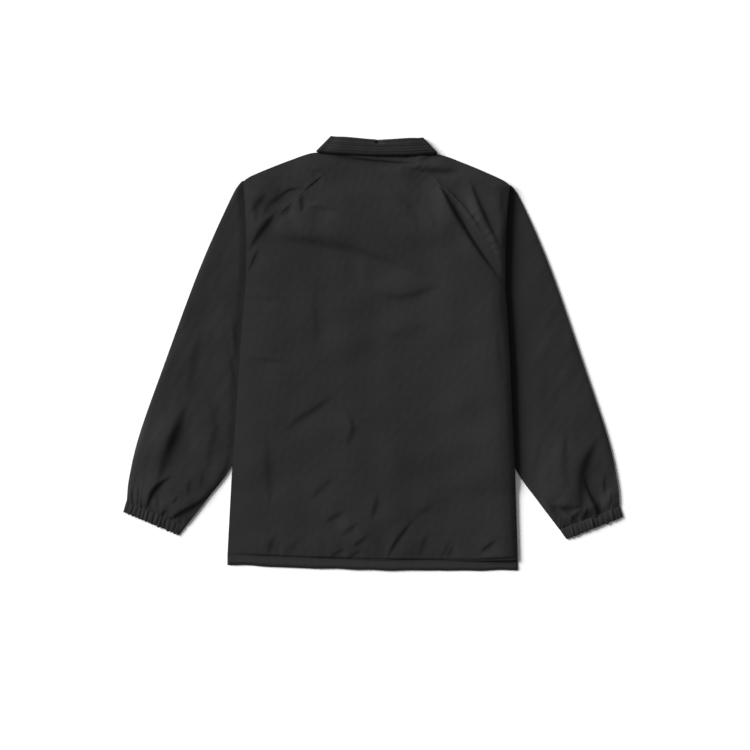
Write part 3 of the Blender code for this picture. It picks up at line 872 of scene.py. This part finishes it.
# Each row of the collar's right half: neck seam x, y, fold x, y, edge of the fall x, y.
collarBackRows = (
    (0.0000, 0.3526, 0.0000, 0.3736, 0.0000, 0.3442),
    (0.0480, 0.3526, 0.0440, 0.3746, 0.0560, 0.3458),
    (0.0900, 0.3520, 0.0795, 0.3764, 0.1042, 0.3498),
)
collarFrontRows = (
    (0.0900, 0.3520, 0.0795, 0.3764, 0.1042, 0.3498),
    (0.0762, 0.3196, 0.0650, 0.3330, 0.0990, 0.3060),
    (0.0676, 0.3024, 0.0550, 0.3150, 0.0880, 0.2720),
    (0.0484, 0.2866, 0.0360, 0.2985, 0.0710, 0.2440),
    (0.0180, 0.2726, 0.0060, 0.2850, 0.0480, 0.2220),
)
collar = {
    "backRows": 70,
    "frontRows": 40,
    "standRows": 8,
    "bendRows": 7,
    "fallRows": 30,
    "foldHeight": 0.0002,
    "fallLift": 0.0032,       # how far the edge of the fall stands off the back
    "fallBulge": 0.0034,
    "lines": 0.14,            # depth of the lines along the fall, as a share of its bulge
    "dip": 0.0028,            # how far the fold sinks toward its middle
    "dipWidth": 0.040,
    "notch": 0.0028,          # the small pinch in the middle of the fold
    "notchLeft": 0.0020,
    "notchRight": 0.0100,
}


def makeCollar():
    def heights(rows, isBack):
        seam, edge = rows[:, 0:2], rows[:, 4:6]
        if isBack:
            stand = backZ(seam[:, 0], np.minimum(seam[:, 1], jacket["neck"]), 0.0)
            low = backZ(edge[:, 0], edge[:, 1], 0.0) + collar["fallLift"]
            over = np.maximum(low, stand) + collar["foldHeight"]
            return np.column_stack([stand, stand + 0.0006, over, low])
        stand = frontZ(seam[:, 0], seam[:, 1])
        flat = np.full(len(rows), jacket["rest"])
        return np.column_stack([stand, stand, flat, flat])

    def sections(rows, tall, bulge):
        seam, fold, edge = (rows[:, k:k + 2] for k in (0, 2, 4))
        stand = np.column_stack([seam, tall[:, 0]])
        top = np.column_stack([fold, tall[:, 1]])
        over = np.column_stack([fold, tall[:, 2]])
        low = np.column_stack([edge, tall[:, 3]])
        s = np.linspace(0, 1, collar["standRows"])[None, :, None]
        rise = stand[:, None] * (1 - s) + top[:, None] * s
        bend = turned(top, over, flatWay(stand, top), collar["bendRows"], 0.003)
        s = np.linspace(0, 1, collar["fallRows"])[None, :, None]
        fall = over[:, None] * (1 - s) + low[:, None] * s
        fall[:, :, 2] += bulge * (1 - s[..., 0] ** 9)
        lines = ripples(s[..., 0] + 0.4 * rows[:, :1], 63, 0.12, 0.45)
        fall[:, :, 2] += collar["lines"] * bulge * np.sin(math.pi * s[..., 0]) * lines
        return np.concatenate([rise, bend, fall], axis=1)

    backRows = smoothLine(collarBackRows, collar["backRows"])
    frontRows = smoothLine(collarFrontRows, collar["frontRows"])
    backTall = heights(backRows, True)
    frontTall = heights(frontRows, False)
    half = [sections(backRows, backTall, collar["fallBulge"])]
    last = backRows[-1:]
    line = last[0, 4:6] - last[0, 2:4]
    outward = np.array([-line[1], line[0]]) / np.linalg.norm(line)
    for angle in np.linspace(0, math.pi, 9)[1:-1]:
        share = (1 - math.cos(angle)) / 2
        tall = (1 - share) * backTall[-1:] + share * frontTall[:1]
        reach = np.abs(backTall[-1] - frontTall[0]) / 2 * math.sin(angle)
        rows = last.copy()
        for k, r in zip((0, 2, 4), (reach[0], (reach[1] + reach[2]) / 2, reach[3])):
            rows[:, k:k + 2] += outward * r
        half.append(sections(rows, tall, collar["fallBulge"] * (1 - share)))
    half.append(sections(frontRows, frontTall, 0.0))
    right = np.vstack(half)
    left = right[1:][::-1].copy()
    left[:, :, 0] *= -1
    grid = np.vstack([left, right])
    x, y, z = grid[..., 0], grid[..., 1], grid[..., 2]
    onBack = z > 0.003
    dip = np.exp(-(((x - 0.003) / collar["dipWidth"]) ** 2)) * softStep(0.355, 0.372, y) * onBack
    width = np.where(x < 0, collar["notchLeft"], collar["notchRight"])
    pinch = np.exp(-((x / width) ** 2)) * softStep(0.364, 0.371, y) * onBack
    grid[..., 1] -= collar["dip"] * dip + 0.1 * collar["notch"] * pinch
    grid[..., 2] -= collar["notch"] * pinch * softStep(0.0040, 0.0065, z)
    grid[..., 2] += onBack * 0.00010 * waves(x, y, 61, 0.02, 0.06) * softStep(0.0035, 0.006, z)
    faces = gridFaces(*x.shape, False)
    return addPiece("collarBand", grid, faces, nylon, ["collar"], jacket["wall"])


collarPiece = makeCollar()
print("collar made")

snap = {"radius": 0.0065, "count": 5, "first": 0.238, "last": -0.330}


def makeSnaps():
    # Domed caps on the underside, each turned from one profile of (share of radius, height).
    profile = ((0.0, 0.00015), (0.45, 0.0001), (0.62, 0.00002), (0.70, 0.00025), (0.76, 0.00003),
               (0.92, 0.00010), (1.0, 0.00045), (1.0, 0.0011))
    around = 40
    points = []
    faces = []
    for y in np.linspace(snap["first"], snap["last"], snap["count"]):
        start = len(points)
        for share, height in profile:
            for k in range(around):
                angle = 2 * math.pi * k / around
                r = snap["radius"] * max(share, 0.02)
                points.append((r * math.cos(angle), y + r * math.sin(angle), height))
        for ring in range(len(profile) - 1):
            for k in range(around):
                n = (k + 1) % around
                a = start + ring * around
                faces.append((a + k, a + around + k, a + around + n, a + n))
    nodes = [f"snap_{k + 1}" for k in range(snap["count"])]
    return addPiece("snaps", points, faces, snapPaint, nodes)


snaps = makeSnaps()
print("snaps made")

stitch = {"length": 0.0026, "pitch": 0.0034, "width": 0.0005, "height": 0.00010}


def makeStitches():
    # Short raised threads along each sewn line, as one mesh.
    places = []
    lifts = []
    faces = []

    def sew(line):
        length = np.append(0, np.cumsum(np.linalg.norm(np.diff(line, axis=0), axis=1)))
        for s in np.arange(stitch["pitch"], length[-1] - stitch["pitch"], stitch["pitch"]):
            a, b = (np.array([np.interp(p, length, c) for c in line.T])
                    for p in (s, s + stitch["length"]))
            way = (b - a) / np.linalg.norm(b - a)
            side = np.array([-way[1], way[0]]) * stitch["width"] / 2
            start = len(places)
            for t, swell in ((0, 0.3), (0.25, 1), (0.75, 1), (1, 0.3)):
                for across, lift in ((-1, 0.0), (0, 1.0), (1, 0.0)):
                    places.append(a + (b - a) * t + side * across * swell)
                    lifts.append(stitch["height"] * (lift * swell * 1.6 - 0.3))
            for r in range(3):
                for c in range(2):
                    q = start + r * 3 + c
                    faces.append((q, q + 3, q + 4, q + 1))

    seam = inset(smoothLine(outlines["backRaglan"], 60), 0.0042)
    seam = seam[seam[:, 1] < 0.300]
    for side in (-1, 1):
        sew(seam * (side, 1))
    places = np.array(places)
    z = backZ(places[:, 0], places[:, 1]) + np.array(lifts)
    return addPiece("stitches", np.column_stack([places, z]), faces, threadCloth, [])


stitches = makeStitches()
print("stitches made")

studio = {
    "floorWhite": 0.90,
    "floorReach": 16.0,
    "sun": 8.6,
    "sunElevation": 22.0,
    "sunAzimuth": 151.0,      # from +X, so from the left and a little above
    "sunSize": 35.0,
    "sky": 0.24,
    "distance": 3.2,
    "frameWidth": 1.3125,     # width of the view at the jacket
    "centre": (0.0009, -0.0385),
    "roll": 0.6,
}

floorMesh = bpy.data.meshes.new("floor")
reach = studio["floorReach"]
corners = [(-reach, -reach, 0), (reach, -reach, 0), (reach, reach, 0), (-reach, reach, 0)]
floorMesh.from_pydata(corners, [], [(0, 1, 2, 3)])
floor = bpy.data.objects.new("floor", floorMesh)
floor.location.z = -0.0002
bpy.context.scene.collection.objects.link(floor)
floorPaint = bpy.data.materials.new("floorWhite")
floorPaint.use_nodes = True
floorShader = floorPaint.node_tree.nodes["Principled BSDF"]
floorShader.inputs["Base Color"].default_value = (*(studio["floorWhite"],) * 3, 1)
floorShader.inputs["Roughness"].default_value = 0.9
floorShader.inputs["Specular IOR Level"].default_value = 0.1
floorMesh.materials.append(floorPaint)

world = bpy.data.worlds.new("studio")
world.use_nodes = True
world.node_tree.nodes["Background"].inputs["Color"].default_value = (1, 1, 1, 1)
world.node_tree.nodes["Background"].inputs["Strength"].default_value = studio["sky"]
bpy.context.scene.world = world

sun = bpy.data.objects.new("key", bpy.data.lights.new("key", "SUN"))
sun.data.energy = studio["sun"]
sun.data.angle = math.radians(studio["sunSize"])
sun.rotation_euler = (0, math.radians(90 - studio["sunElevation"]), math.radians(studio["sunAzimuth"]))
bpy.context.scene.collection.objects.link(sun)

camera = bpy.data.objects.new("camera", bpy.data.cameras.new("camera"))
camera.data.sensor_width = 36.0
camera.data.lens = 36.0 * studio["distance"] / studio["frameWidth"]
camera.data.clip_end = 20.0
camera.location = (*studio["centre"], studio["distance"])
camera.rotation_euler = (0, 0, math.radians(studio["roll"]))
bpy.context.scene.collection.objects.link(camera)
bpy.context.scene.camera = camera
bpy.context.scene.view_settings.view_transform = "Standard"
print("studio made")

bpy.context.view_layer.update()
